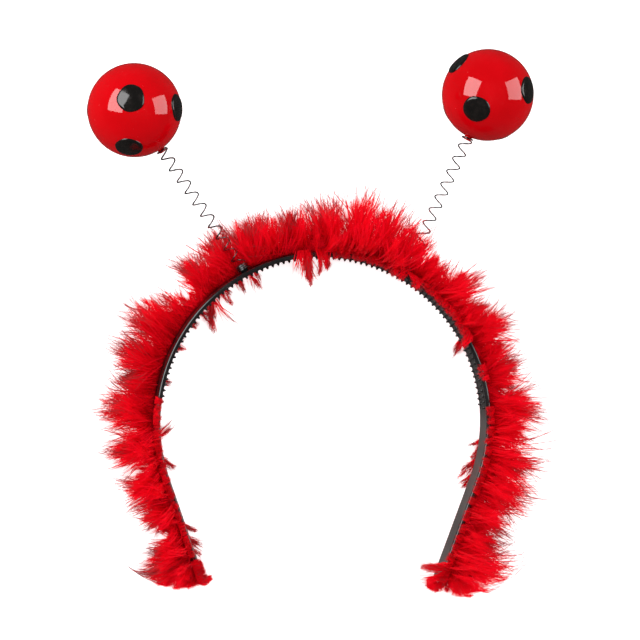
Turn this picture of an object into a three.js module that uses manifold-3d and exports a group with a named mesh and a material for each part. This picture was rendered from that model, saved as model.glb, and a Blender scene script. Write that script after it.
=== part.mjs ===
// Ladybug headband: a toothed plastic hair band trimmed with feathers, and two spotted balls on coil springs.
// Millimetres, +Z up. The band lies on its side, with its crest towards +Y and its legs towards -Y.

import * as THREE from 'three';
import { mergeVertices } from 'three/addons/utils/BufferGeometryUtils.js';
import Module from 'manifold-3d';

const wasm = await Module();
wasm.setup();
const radians = THREE.MathUtils.degToRad;

// Hair band: an arc on each side of the crest, and a straight leg from its end to the tip
const archRadius = 64.5; // inner face
const archTurn = radians(110);
const legLength = 42;
const bandThickness = 1.8;
const bandDepth = 12;
const bandBevel = 0.45;
const bandHeight = 9.5; // the middle of the band above the surface that it lies on
const bandArcSteps = 56;

// Teeth: two staggered rows of pyramids on the inner face
const toothPitch = 2.25;
const toothRadius = 0.85;
const toothHeight = 1.1;
const toothRoot = 0.4;
const toothSides = 4;
const toothRowOffset = 3.4;
const toothedTurn = radians(84);

// Posts on the band that the springs are pushed on, and the stubs on the balls
const postTurn = radians(28.6);
const postRadius = 1.5;
const postLength = 3.4;
const postRoot = 1;
const stubLength = 1.4;
const ventRadius = 0.5;
const postSides = 8;

// Springs: close turns over the post, open turns, and one close turn over the ball's stub
const wireRadius = 0.25;
const wireSides = 5;
const coilRadius = 2.1;
const closePitch = 0.75;
const closeTurns = 3;
const openTurns = 10;
const endTurns = 1;
const springSeat = 0.9;
const stepsPerTurn = 8;

// Balls, hollow, with raised spots
const ballRadius = 18;
const ballWall = 1.2;
const ballSegments = [22, 12];
const hollowSegments = [12, 7];
const spotRadius = 5.4;
const spotThickness = 0.3;
const spotSides = 11;
const gap = 0.3;

// Feather trim: a soft backing along the band's outer side, with tufts fused to it
const backingHalfDepth = 12;
const backingAtTuft = 0.86; // share of the tuft's reach that the backing fills
const backingBetween = 0.62;
const tuftRoot = 5; // how far outside the band's outer face a tuft starts
const tuftRadius = 4.6;
const tuftSides = 4;
const tuftRings = 2;
const tuftSwell = 1.6;
const tuftCurl = 0.3;
const tipLump = { along: 6, out: 10.5, up: 10, offset: 5.5, past: -2 };
const tipLumpSegments = [9, 6];
const springBore = 2.9;
const headRoom = 14; // kept clear of feathers inside the legs

// Each antenna has its own lean away from the crest, and its own length from the band's outer face to the
// middle of its ball
const antennas = [
  { side: 'left', sign: -1, lean: radians(36.6), length: 76 },
  { side: 'right', sign: 1, lean: radians(23.2), length: 77.5 },
];

// Spots: turn is measured round the ball from +X, rise above the level of its middle, in degrees
const spots = {
  left: [
    { turn: 137, rise: 75 },
    { turn: 3, rise: 28 },
    { turn: -101, rise: 30 },
    { turn: 180, rise: -30 },
    { turn: 75, rise: -20 },
    { turn: -40, rise: -35 },
  ],
  right: [
    { turn: -139, rise: 53 },
    { turn: 6, rise: 41 },
    { turn: 137, rise: 8 },
    { turn: 60, rise: -25 },
    { turn: -60, rise: -22 },
    { turn: -155, rise: -38 },
  ],
};

// The backing's section: out is a share of its thickness from the band, and up of its half depth
const backingSection = [
  { out: 0, up: -0.4 },
  { out: 0.28, up: -0.95 },
  { out: 0.7, up: -0.9 },
  { out: 1, up: -0.4 },
  { out: 1, up: 0.35 },
  { out: 0.7, up: 0.9 },
  { out: 0.28, up: 0.95 },
  { out: 0, up: 0.4 },
];

// Tufts along the band: station is the way round from the crest, negative on the left, and reach is
// measured from the band's outer face, both in mm; lean is in degrees, clockwise from straight out
const tufts = [
  { station: -156, reach: 19, lean: -4 },
  { station: -149, reach: 16, lean: 4 },
  { station: -137, reach: 13, lean: 4 },
  { station: -126, reach: 16.5, lean: 4 },
  { station: -113, reach: 18, lean: -4 },
  { station: -98, reach: 20, lean: 4 },
  { station: -88, reach: 13.5, lean: -4 },
  { station: -80, reach: 19, lean: -4 },
  { station: -69, reach: 20, lean: 6 },
  { station: -48, reach: 18, lean: 4 },
  { station: -37, reach: 18.5, lean: -6 },
  { station: -28, reach: 18, lean: 4 },
  { station: -20, reach: 17, lean: -4 },
  { station: -12, reach: 16, lean: 4 },
  { station: 0, reach: 18.5, lean: -4 },
  { station: 11, reach: 22.5, lean: 4 },
  { station: 20, reach: 21, lean: -4 },
  { station: 29, reach: 19, lean: 6 },
  { station: 39, reach: 13, lean: 0 },
  { station: 52, reach: 17.5, lean: 4 },
  { station: 61, reach: 15, lean: -4 },
  { station: 68, reach: 19, lean: 4 },
  { station: 76, reach: 13.5, lean: 0 },
  { station: 84, reach: 15.5, lean: -4 },
  { station: 95, reach: 21.5, lean: 4 },
  { station: 104, reach: 16, lean: -6 },
  { station: 115, reach: 22, lean: 4 },
  { station: 125, reach: 22, lean: -4 },
  { station: 136, reach: 17.5, lean: 6 },
  { station: 146, reach: 17, lean: 4 },
  { station: 156, reach: 24.5, lean: -6 },
];

// The tufts stand in three layers, and each has every tuft of the table or every second one: step is
// along the band and up from its middle, in mm, rise is in degrees, and share and width are parts of
// the tuft's own reach and radius
const layers = [
  { every: 1, step: 0, up: 1, rise: 4, share: 1.06, width: 1 },
  { every: 2, step: 5, up: 5, rise: 42, share: 0.98, width: 1.2 },
  { every: 2, step: 5, up: -4, rise: -18, share: 0.98, width: 1.2 },
];

// Tufts round the tips of the legs: turn is in degrees from the leg's own direction, outwards
const tipTufts = {
  left: [
    { turn: 0, reach: 6 },
    { turn: 38, reach: 8 },
    { turn: 70, reach: 14 },
  ],
  right: [
    { turn: -60, reach: 16 },
    { turn: -15, reach: 8 },
    { turn: 25, reach: 10 },
    { turn: 60, reach: 17 },
  ],
};

const blackPlastic = new THREE.MeshStandardMaterial({ color: 0x0c0b0c, roughness: 0.22, metalness: 0 });
const redFeather = new THREE.MeshStandardMaterial({ color: 0xc80818, roughness: 0.9, metalness: 0 });
const springSteel = new THREE.MeshStandardMaterial({ color: 0x9a9a9c, roughness: 0.25, metalness: 1 });
const redPlastic = new THREE.MeshStandardMaterial({ color: 0xdc0410, roughness: 0.1, metalness: 0 });
const blackPaint = new THREE.MeshStandardMaterial({ color: 0x0e0c0a, roughness: 0.3, metalness: 0 });

const legEnd = archRadius * archTurn + legLength;
const zAxis = new THREE.Vector3(0, 0, 1);
const yAxis = new THREE.Vector3(0, 1, 0);

// A closed geometry as a solid that can be joined and cut
function toSolid(geometry) {
  const bare = geometry.clone();
  bare.deleteAttribute('normal');
  bare.deleteAttribute('uv');
  const welded = mergeVertices(bare);
  return new wasm.Manifold(new wasm.Mesh({
    numProp: 3,
    vertProperties: welded.attributes.position.array,
    triVerts: welded.index.array,
  }));
}

function toGeometry(solid) {
  const mesh = solid.getMesh();
  const geometry = new THREE.BufferGeometry();
  geometry.setAttribute('position', new THREE.BufferAttribute(mesh.vertProperties, 3));
  geometry.setIndex(new THREE.BufferAttribute(mesh.triVerts, 1));
  geometry.computeVertexNormals();
  return geometry;
}

function joined(solids) {
  return solids.reduce((whole, next) => whole.add(next));
}

function namedMesh(name, geometry, material) {
  const mesh = new THREE.Mesh(geometry, material);
  mesh.name = name;
  return mesh;
}

// The place on the band at a station, with the directions out of the band and on towards the tip
function bandFrame(station) {
  const sign = Math.sign(station) || 1;
  const turn = Math.min(Math.abs(station) / archRadius, archTurn);
  const run = Math.max(Math.abs(station) - archRadius * archTurn, 0);
  const out = new THREE.Vector2(sign * Math.sin(turn), Math.cos(turn));
  const along = new THREE.Vector2(sign * Math.cos(turn), -Math.sin(turn));
  const foot = out.clone().multiplyScalar(archRadius).addScaledVector(along, run);
  return { sign, out, along, foot };
}

function bandPoint(station, out) {
  const frame = bandFrame(station);
  return frame.foot.addScaledVector(frame.out, out);
}

// A strip that follows the band between two distances from its inner face, level with the band's middle
function bandStrip({ from, to, depth, bevel, end, arcSteps }) {
  const stations = [-end];
  for (let step = 0; step <= arcSteps; step += 1) {
    stations.push(archRadius * archTurn * (2 * step / arcSteps - 1));
  }
  stations.push(end);
  const outer = stations.map((station) => bandPoint(station, to));
  const inner = stations.map((station) => bandPoint(station, from)).reverse();
  const strip = new THREE.ExtrudeGeometry(new THREE.Shape([...outer, ...inner]), {
    depth: depth - 2 * bevel,
    bevelEnabled: bevel > 0,
    bevelThickness: bevel,
    bevelSize: bevel,
    bevelOffset: -bevel,
    bevelSegments: 1,
  });
  return strip.translate(0, 0, bandHeight - depth / 2 + bevel);
}

// Where an antenna stands on the band, where its ball is, and the direction between them
function antennaLine(antenna) {
  const foot = bandPoint(antenna.sign * postTurn * archRadius, bandThickness);
  const base = new THREE.Vector3(foot.x, foot.y, bandHeight);
  const climb = ballRadius - bandHeight;
  const level = Math.sqrt(antenna.length ** 2 - climb ** 2);
  const way = new THREE.Vector3(antenna.sign * Math.sin(antenna.lean) * level, Math.cos(antenna.lean) * level, climb);
  const direction = way.clone().normalize();
  return { base, centre: base.clone().add(way), direction };
}

// An upright cylinder from one height to another on an antenna's own axis
function axisCylinder(line, radius, from, to) {
  const rod = new THREE.CylinderGeometry(radius, radius, to - from, postSides);
  rod.translate(0, (from + to) / 2, 0);
  rod.applyQuaternion(new THREE.Quaternion().setFromUnitVectors(yAxis, line.direction));
  return rod.translate(line.base.x, line.base.y, line.base.z);
}

// A tooth points at the middle of the arch, its root sunk in the inner face
function tooth(turn, row) {
  const pyramid = new THREE.ConeGeometry(toothRadius, toothHeight + toothRoot, toothSides);
  pyramid.rotateY(Math.PI / toothSides);
  pyramid.rotateX(Math.PI);
  pyramid.translate(0, archRadius + (toothRoot - toothHeight) / 2, bandHeight + row * toothRowOffset);
  return pyramid.rotateZ(-turn);
}

function headband() {
  const solids = [toSolid(bandStrip({
    from: 0,
    to: bandThickness,
    depth: bandDepth,
    bevel: bandBevel,
    end: legEnd,
    arcSteps: bandArcSteps,
  }))];
  const teethEachSide = Math.floor(toothedTurn * archRadius / toothPitch);
  for (const row of [-1, 1]) {
    const stagger = row / 4;
    for (let index = -teethEachSide; index <= teethEachSide; index += 1) {
      solids.push(toSolid(tooth((index + stagger) * toothPitch / archRadius, row)));
    }
  }
  for (const antenna of antennas) {
    solids.push(toSolid(axisCylinder(antennaLine(antenna), postRadius, -postRoot, postLength)));
  }
  return namedMesh('headband', toGeometry(joined(solids)), blackPlastic);
}

// The middle of the wire, round +Z from the band's face: t runs from the post to the ball
class SpringCurve extends THREE.Curve {
  constructor(antennaLength) {
    super();
    this.antennaLength = antennaLength;
  }

  getPoint(t, target = new THREE.Vector3()) {
    const turns = t * (closeTurns + openTurns + endTurns);
    const last = this.antennaLength - ballRadius - springSeat / 2 - endTurns * closePitch;
    const openPitch = (last - springSeat - closeTurns * closePitch) / openTurns;
    const open = THREE.MathUtils.clamp(turns - closeTurns, 0, openTurns);
    const height = springSeat + closePitch * (turns - open) + openPitch * open;
    const angle = 2 * Math.PI * turns;
    return target.set(coilRadius * Math.cos(angle), coilRadius * Math.sin(angle), height);
  }
}

function spring(antenna) {
  const ring = [];
  for (let side = 0; side < wireSides; side += 1) {
    const angle = 2 * Math.PI * side / wireSides;
    ring.push(new THREE.Vector2(wireRadius * Math.cos(angle), wireRadius * Math.sin(angle)));
  }
  const wire = new THREE.ExtrudeGeometry(new THREE.Shape(ring), {
    extrudePath: new SpringCurve(antenna.length),
    steps: stepsPerTurn * (closeTurns + openTurns + endTurns),
  });
  const line = antennaLine(antenna);
  const mesh = namedMesh(`spring_${antenna.side}`, wire, springSteel);
  mesh.position.copy(line.base);
  mesh.quaternion.setFromUnitVectors(zAxis, line.direction);
  return mesh;
}

// The shell is vented through its stub
function ball(antenna) {
  const line = antennaLine(antenna);
  const turnToAxis = new THREE.Quaternion().setFromUnitVectors(yAxis, line.direction);
  const place = (sphere) => sphere.applyQuaternion(turnToAxis).translate(...line.centre.toArray());
  const shell = toSolid(place(new THREE.SphereGeometry(ballRadius, ...ballSegments)));
  const hollow = toSolid(place(new THREE.SphereGeometry(ballRadius - ballWall, ...hollowSegments)));
  const face = antenna.length - ballRadius;
  const stub = toSolid(axisCylinder(line, postRadius, face - stubLength, face + ballWall / 2));
  const vent = toSolid(axisCylinder(line, ventRadius, face - 2 * stubLength, face + 2 * ballWall));
  const solid = shell.add(stub).subtract(hollow).subtract(vent);
  return namedMesh(`ball_${antenna.side}`, toGeometry(solid), redPlastic);
}

// A spot is a thin cap that follows the ball, turned about its own middle
function spot(antenna, row, index) {
  const inside = ballRadius + gap;
  const edge = spotRadius / inside;
  const profile = [];
  for (const share of [0, 1]) {
    profile.push(new THREE.Vector2(inside * Math.sin(edge * share), inside * Math.cos(edge * share)));
  }
  const outside = inside + spotThickness;
  for (const share of [0.94, 0.5, 0]) {
    profile.push(new THREE.Vector2(outside * Math.sin(edge * share), outside * Math.cos(edge * share)));
  }
  const turn = radians(row.turn);
  const rise = radians(row.rise);
  const middle = new THREE.Vector3(
    Math.cos(rise) * Math.cos(turn),
    Math.cos(rise) * Math.sin(turn),
    Math.sin(rise),
  );
  const mesh = namedMesh(`spot_${antenna.side}_${index + 1}`, new THREE.LatheGeometry(profile, spotSides), blackPaint);
  mesh.position.copy(antennaLine(antenna).centre);
  mesh.quaternion.setFromUnitVectors(yAxis, middle);
  return mesh;
}

// A tuft swells a little above its root, ends in a point, and curls to one side
function tuft(root, direction, length, radius, curlSign) {
  const cone = new THREE.ConeGeometry(radius, length, tuftSides, tuftRings);
  cone.translate(0, length / 2, 0);
  const positions = cone.attributes.position;
  for (let index = 0; index < positions.count; index += 1) {
    const share = positions.getY(index) / length;
    const swell = 1 + tuftSwell * share;
    const curl = curlSign * tuftCurl * length * share ** 2;
    positions.setX(index, positions.getX(index) * swell + curl);
    positions.setZ(index, positions.getZ(index) * swell);
  }
  cone.applyQuaternion(new THREE.Quaternion().setFromUnitVectors(yAxis, direction));
  return toSolid(cone.translate(root.x, root.y, root.z));
}

function bandTufts() {
  const solids = [];
  for (const layer of layers) {
    for (const [index, row] of tufts.entries()) {
      if (index % layer.every > 0) {
        continue;
      }
      const station = row.station + layer.step;
      const frame = bandFrame(station);
      const lean = -radians(row.lean);
      const level = frame.out.clone().rotateAround(new THREE.Vector2(), lean);
      const rise = radians(layer.rise);
      const direction = new THREE.Vector3(level.x * Math.cos(rise), level.y * Math.cos(rise), Math.sin(rise));
      const foot = bandPoint(station, bandThickness + tuftRoot);
      const root = new THREE.Vector3(foot.x, foot.y, bandHeight + layer.up);
      const length = row.reach * layer.share - tuftRoot;
      solids.push(tuft(root, direction, length, tuftRadius * layer.width, Math.sign(row.lean)));
    }
  }
  return solids;
}

function tipTuftsAndLump(antenna) {
  const frame = bandFrame(antenna.sign * (legEnd + tipLump.past));
  const middle = frame.foot.clone().addScaledVector(frame.out, tipLump.offset);
  const lump = new THREE.SphereGeometry(1, ...tipLumpSegments);
  lump.scale(tipLump.out, tipLump.along, tipLump.up);
  lump.rotateZ(Math.atan2(frame.out.y, frame.out.x));
  const solids = [toSolid(lump.translate(middle.x, middle.y, bandHeight))];
  for (const row of tipTufts[antenna.side]) {
    const turn = radians(row.turn);
    const level = frame.along.clone().multiplyScalar(Math.cos(turn)).addScaledVector(frame.out, Math.sin(turn));
    const root = new THREE.Vector3(middle.x, middle.y, bandHeight);
    solids.push(tuft(root, new THREE.Vector3(level.x, level.y, 0), row.reach, tuftRadius, 0));
  }
  return solids;
}

// The backing swells at each tuft and is pinched between them, and its underside lies flat on the surface
function backing() {
  const sections = [];
  for (const [index, row] of tufts.entries()) {
    if (index > 0) {
      const before = tufts[index - 1];
      const reach = (before.reach + row.reach) / 2;
      sections.push({ station: (before.station + row.station) / 2, out: backingBetween * reach });
    }
    sections.push({ station: row.station, out: backingAtTuft * row.reach });
  }
  sections.unshift({ station: -legEnd, out: sections[0].out });
  sections.push({ station: legEnd, out: sections.at(-1).out });
  const positions = [];
  for (const section of sections) {
    for (const corner of backingSection) {
      const place = bandPoint(section.station, bandThickness + gap + section.out * corner.out);
      const up = Math.max(backingHalfDepth * corner.up, -bandHeight);
      positions.push(place.x, place.y, bandHeight + up);
    }
  }
  const triangles = [];
  const corners = backingSection.length;
  const lastRing = (sections.length - 1) * corners;
  for (let ring = 0; ring < lastRing; ring += corners) {
    for (let corner = 0; corner < corners; corner += 1) {
      const here = ring + corner;
      const beside = ring + (corner + 1) % corners;
      triangles.push(here, beside, here + corners, beside, beside + corners, here + corners);
    }
  }
  for (let corner = 1; corner < corners - 1; corner += 1) {
    triangles.push(0, corner + 1, corner);
    triangles.push(lastRing, lastRing + corner, lastRing + corner + 1);
  }
  const geometry = new THREE.BufferGeometry();
  geometry.setAttribute('position', new THREE.Float32BufferAttribute(positions, 3));
  geometry.setIndex(triangles);
  return geometry;
}

// The underside is pressed flat by the surface, and the band and springs pass through with a gap
function featherTrim() {
  const solids = [toSolid(backing()), ...bandTufts()];
  for (const antenna of antennas) {
    solids.push(...tipTuftsAndLump(antenna));
  }
  const room = toSolid(bandStrip({
    from: -headRoom,
    to: bandThickness + gap,
    depth: bandDepth + 2 * gap,
    bevel: 0,
    end: legEnd + gap,
    arcSteps: bandArcSteps,
  }));
  const surface = new THREE.BoxGeometry(4 * archRadius, 4 * archRadius, bandDepth).translate(0, 0, -bandDepth / 2);
  let trim = joined(solids).subtract(room).subtract(toSolid(surface));
  for (const antenna of antennas) {
    trim = trim.subtract(toSolid(axisCylinder(antennaLine(antenna), springBore, -postRoot, antenna.length / 2)));
  }
  return namedMesh('feather_trim', toGeometry(trim), redFeather);
}

const ladybugHeadband = new THREE.Group();
ladybugHeadband.add(headband());
ladybugHeadband.add(featherTrim());
for (const antenna of antennas) {
  ladybugHeadband.add(spring(antenna));
  ladybugHeadband.add(ball(antenna));
  for (const [index, row] of spots[antenna.side].entries()) {
    ladybugHeadband.add(spot(antenna, row, index));
  }
}

// The origin is on the surface, under the middle of the whole headband
const box = new THREE.Box3().setFromObject(ladybugHeadband, true);
const middle = box.getCenter(new THREE.Vector3());
ladybugHeadband.position.set(-middle.x, -middle.y, -box.min.z);

export default ladybugHeadband;
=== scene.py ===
import bpy
import numpy as np
from mathutils import Matrix, Vector


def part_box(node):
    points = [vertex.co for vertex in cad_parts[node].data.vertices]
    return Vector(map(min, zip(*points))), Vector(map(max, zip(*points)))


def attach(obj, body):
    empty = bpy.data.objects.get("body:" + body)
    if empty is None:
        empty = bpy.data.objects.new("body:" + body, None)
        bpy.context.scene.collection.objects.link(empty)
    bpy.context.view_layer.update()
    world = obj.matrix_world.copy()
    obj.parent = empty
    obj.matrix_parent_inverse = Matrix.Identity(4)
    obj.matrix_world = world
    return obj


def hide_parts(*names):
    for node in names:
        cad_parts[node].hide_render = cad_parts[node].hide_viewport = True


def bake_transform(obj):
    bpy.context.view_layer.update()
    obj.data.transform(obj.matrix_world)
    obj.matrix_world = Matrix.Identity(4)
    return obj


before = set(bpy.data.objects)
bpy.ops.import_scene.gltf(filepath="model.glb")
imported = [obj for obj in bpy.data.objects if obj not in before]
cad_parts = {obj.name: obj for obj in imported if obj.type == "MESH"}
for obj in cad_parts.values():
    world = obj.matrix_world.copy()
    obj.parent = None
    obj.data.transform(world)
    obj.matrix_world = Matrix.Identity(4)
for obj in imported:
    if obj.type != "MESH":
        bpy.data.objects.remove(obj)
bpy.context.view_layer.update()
print("frame loaded:", len(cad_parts), "nodes")

# Sizes below are in millimetres, in a frame whose origin is the middle of the arch, level with the floor
mm = 0.001
up = np.array([0.0, 0.0, 1.0])

band = {
    "innerRadius": 64.5,
    "archTurn": 110,  # degrees from the crest to the start of each leg
    "legLength": 42,
    "thickness": 1.8,
    "depth": 12,
    "height": 9.5,  # the middle of the band above the floor
    "edgeRadius": 0.8,
    "edgeSteps": 8,
    "faceSteps": 6,
    "arcRings": 240,
    "legRings": 30,
    "tipRadius": 2.2,
    "satinSheenLeast": 0.35,  # satin and painted grey sheen of the inner face between the teeth, where the plain legs have 1
    "satinSheenRamp": 6,
}
arcEnd = band["innerRadius"] * np.radians(band["archTurn"])
legEnd = arcEnd + band["legLength"]
bandLow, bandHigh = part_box("headband")
archCentre = np.array([
    (bandLow.x + bandHigh.x) / 2,
    bandHigh.y - (band["innerRadius"] + band["thickness"]) * mm,
    0,
])


# Foot on the inner face, with the outward and the clockwise direction, at a way round the band from the
# crest (negative on the left): an arc on each side of the crest, then a straight leg on its tangent
def bandPlace(station):
    side = np.where(station < 0, -1.0, 1.0)
    turn = np.minimum(np.abs(station) / band["innerRadius"], np.radians(band["archTurn"]))
    run = np.maximum(np.abs(station) - arcEnd, 0)
    out = np.stack([side * np.sin(turn), np.cos(turn), 0 * turn], -1)
    clockwise = np.stack([out[..., 1], -out[..., 0], 0 * turn], -1)
    foot = out * band["innerRadius"] + clockwise * (side * run)[..., None]
    return foot, out, clockwise


# Evenly spaced angles all the way round
def fullTurn(steps):
    return np.linspace(0, 2 * np.pi, steps, endpoint=False)


# A mesh object at the origin, from points in the arch's frame and arrays of quads and triangles
def newPiece(name, points, quads, triangles, material, smooth=True):
    mesh = bpy.data.meshes.new(name)
    mesh.vertices.add(len(points))
    mesh.vertices.foreach_set("co", (points * mm + archCentre).astype(np.float32).ravel())
    corners = np.concatenate([quads.ravel(), triangles.ravel()]).astype(np.int32)
    mesh.loops.add(len(corners))
    mesh.loops.foreach_set("vertex_index", corners)
    sizes = np.concatenate([np.full(len(quads), 4), np.full(len(triangles), 3)])
    mesh.polygons.add(len(sizes))
    mesh.polygons.foreach_set("loop_start", (np.cumsum(sizes) - sizes).astype(np.int32))
    mesh.polygons.foreach_set("use_smooth", np.full(len(sizes), smooth))
    mesh.update(calc_edges=True)
    mesh.materials.append(material)
    piece = bpy.data.objects.new(name, mesh)
    bpy.context.scene.collection.objects.link(piece)
    return piece


# Tubes from an array of count x rings x around points: each ring is joined to the next, each end is
# closed by a fan about its own middle, and all faces are turned round if the volume comes out negative
def closedTubes(grids):
    count, rings, around = grids.shape[:3]
    index = np.arange(count * rings * around).reshape(count, rings, around)
    beside = np.roll(index, -1, axis=2)
    quads = np.stack([index[:, :-1], beside[:, :-1], beside[:, 1:], index[:, 1:]], -1).reshape(-1, 4)
    ends = np.broadcast_to(index.size + np.arange(2 * count).reshape(2, count, 1), (2, count, around))
    firstFan = np.stack([ends[0], beside[:, 0], index[:, 0]], -1)
    lastFan = np.stack([ends[1], index[:, -1], beside[:, -1]], -1)
    triangles = np.concatenate([firstFan, lastFan]).reshape(-1, 3)
    points = np.concatenate([grids.reshape(-1, 3), grids[:, 0].mean(1), grids[:, -1].mean(1)])
    halves = np.concatenate([quads[:, [0, 1, 2]], quads[:, [0, 2, 3]], triangles])
    a, b, c = points[halves[:, 0]], points[halves[:, 1]], points[halves[:, 2]]
    if (a * np.cross(b, c)).sum() < 0:
        quads = quads[:, ::-1]
        triangles = triangles[:, ::-1]
    return points, quads, triangles


# Points made about +Z, turned so that it points along an axis, and moved to a base
def stoodUp(points, base, axis):
    spin = np.array(Vector((0, 0, 1)).rotation_difference(Vector(axis)).to_matrix())
    return points @ spin.T + base


# A surface of revolution: heights and radii along a profile, turned about an axis through a point
def lathe(heights, radii, base, axis, around):
    turn = fullTurn(around)
    ring = np.stack([np.cos(turn), np.sin(turn), 0 * turn], -1)
    local = radii[:, None, None] * ring + heights[:, None, None] * up
    return stoodUp(local, base, axis)


# One socket of a node tree. Sums, differences and products of wires and numbers add Math nodes
class Wire:
    def __init__(self, tree, socket=None):
        self.tree = tree
        self.socket = socket

    # any other node: its type, its settings, then the values or wires of its sockets
    def node(self, kind, settings=None, inputs=None, output=0):
        made = self.tree.nodes.new(kind)
        for name, value in (settings or {}).items():
            if name == "stops":
                for stop in value[2:]:
                    made.color_ramp.elements.new(stop[0])
                for element, (spot, colour) in zip(made.color_ramp.elements, sorted(value)):
                    element.position = spot
                    element.color = (*colour, 1)
            else:
                setattr(made, name, value)
        for name, value in (inputs or {}).items():
            if isinstance(value, Wire):
                self.tree.links.new(value.socket, made.inputs[name])
            else:
                made.inputs[name].default_value = value
        return Wire(self.tree, made.outputs[output] if made.outputs else None)

    def math(self, operation, first, second):
        return self.node("ShaderNodeMath", {"operation": operation}, {0: first, 1: second})

    def __add__(self, other):
        return self.math("ADD", self, other)

    def __sub__(self, other):
        return self.math("SUBTRACT", self, other)

    def __rsub__(self, other):
        return self.math("SUBTRACT", other, self)

    def __mul__(self, other):
        return self.math("MULTIPLY", self, other)

    __radd__ = __add__
    __rmul__ = __mul__

    # noise at a scale in cells to a metre, from 0 to 1
    def noise(self, scale, detail=2.0):
        place = self.node("ShaderNodeTexCoord", output="Object")
        return self.node("ShaderNodeTexNoise", {}, {"Vector": place, "Scale": scale, "Detail": detail}, "Fac")

    # a smooth step of this value from one number to another
    def step(self, low, high):
        inputs = {"Value": self, "From Min": low, "From Max": high}
        return self.node("ShaderNodeMapRange", {"interpolation_type": "SMOOTHSTEP"}, inputs)

    # two colours or wires mixed by this value
    def between(self, first, second):
        first, second = [each if isinstance(each, Wire) else (*each, 1) for each in (first, second)]
        return self.node("ShaderNodeMix", {"data_type": "RGBA"}, {0: self, 6: first, 7: second}, 2)

    # a normal from this height, with the distance in millimetres
    def bump(self, strength, distance):
        inputs = {"Height": self, "Strength": strength, "Distance": distance * mm}
        return self.node("ShaderNodeBump", {}, inputs)


# A material that shows the shader which its look makes
def newMaterial(name, look):
    material = bpy.data.materials.new(name)
    material.use_nodes = True
    material.node_tree.nodes.clear()
    wire = Wire(material.node_tree)
    wire.node("ShaderNodeOutputMaterial", {}, {"Surface": look(wire)})
    return material


# Glossy black moulded plastic: faint handling haze in the roughness, a moulded ripple, and where the piece
# marks it a satin finish whose grey-brown colour is a painted sheen
def blackPlasticLook(wire):
    haze = wire.noise(70, 3).step(0.35, 0.75)
    grain = wire.noise(1400, 2)
    ripple = wire.noise(240, 2) + 0.2 * grain
    satin = wire.node("ShaderNodeAttribute", {"attribute_name": "satin"}, output="Fac")
    black = haze.between((0.008, 0.0075, 0.008), (0.016, 0.014, 0.014))
    # Painted sheen: the grey-brown stands in for the soft reddish reflection of the satin face at grazing
    # angles
    paintedSheen = haze.between((0.070, 0.058, 0.055), (0.090, 0.072, 0.068))
    return wire.node("ShaderNodeBsdfPrincipled", {}, {
        "Base Color": satin.between(black, paintedSheen),
        "Roughness": 0.07 + 0.07 * haze + 0.03 * grain + 0.35 * satin,
        "IOR": 1.6,
        "Normal": ripple.bump(0.12, 0.1),
    })


# Bright spring wire: drawn steel, streaked a little darker and rougher here and there
def springSteelLook(wire):
    streak = wire.noise(420, 3).step(0.3, 0.7)
    return wire.node("ShaderNodeBsdfPrincipled", {}, {
        "Base Color": streak.between((0.10, 0.10, 0.103), (0.24, 0.24, 0.245)),
        "Metallic": 1.0,
        "Roughness": 0.22 + 0.16 * streak,
    })


# Glossy red plastic of the balls: a hint of uneven dye, soft dips and a few dull specks
def redPlasticLook(wire):
    dye = wire.noise(55, 2).step(0.3, 0.7)
    speck = wire.noise(900, 1).step(0.72, 0.8)
    dips = wire.noise(90, 1)
    return wire.node("ShaderNodeBsdfPrincipled", {}, {
        "Base Color": dye.between((0.43, 0.0002, 0.002), (0.49, 0.0004, 0.003)),
        "Roughness": 0.05 + 0.02 * dye + 0.25 * speck,
        "IOR": 1.54,
        "Normal": dips.bump(0.08, 0.6),
    })


# Thick black enamel: slightly browner where it is thin, with small sags
def blackPaintLook(wire):
    thin = wire.noise(380, 2).step(0.4, 0.75)
    sag = wire.noise(210, 2)
    return wire.node("ShaderNodeBsdfPrincipled", {}, {
        "Base Color": thin.between((0.005, 0.0045, 0.004), (0.010, 0.008, 0.007)),
        "Roughness": 0.09 + 0.10 * thin,
        "IOR": 1.54,
        "Normal": sag.bump(0.2, 0.25),
    })


plumeMap = "OFBake"
# Darker and lighter copies of the colours, which each plume's shade mixes. The pale pink before the dark tips
# is painted light, a glow of light through the thin fringe
feather = {  # colours from root to tip
    "deep": [
        (0.72, 0.0008, 0.009), (0.86, 0.002, 0.016), (0.55, 0.030, 0.036),
        (0.26, 0.045, 0.050), (0.06, 0.022, 0.024),
    ],
    "bright": [
        (0.86, 0.0012, 0.012), (0.97, 0.004, 0.022), (0.75, 0.050, 0.056),
        (0.42, 0.070, 0.075), (0.11, 0.032, 0.034),
    ],
}


# Dyed feather: the map's first number runs from root to tip and its second is the plume's shade, which is
# partly its own tone and partly painted light and shade. The thin tips are darker, and about half of the
# light passes through
def redFeatherLook(wire):
    spread = wire.node("ShaderNodeUVMap", {"uv_map": plumeMap})
    along = wire.node("ShaderNodeSeparateXYZ", {}, {0: spread}, "X")
    shade = wire.node("ShaderNodeSeparateXYZ", {}, {0: spread}, "Y")
    stops = [0.0, 0.46, 0.6, 0.78, 1.0]
    deep, bright = [
        wire.node("ShaderNodeValToRGB", {"stops": list(zip(stops, colours))}, {"Fac": along})
        for colours in feather.values()
    ]
    colour = shade.between(deep, bright)
    front = wire.node("ShaderNodeBsdfPrincipled", {}, {
        "Base Color": colour,
        "Roughness": 0.62,
        "Specular IOR Level": 0.1,
    })
    through = wire.node("ShaderNodeBsdfTranslucent", {}, {"Color": colour})
    return wire.node("ShaderNodeMixShader", {}, {0: 0.5, 1: front, 2: through})


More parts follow.
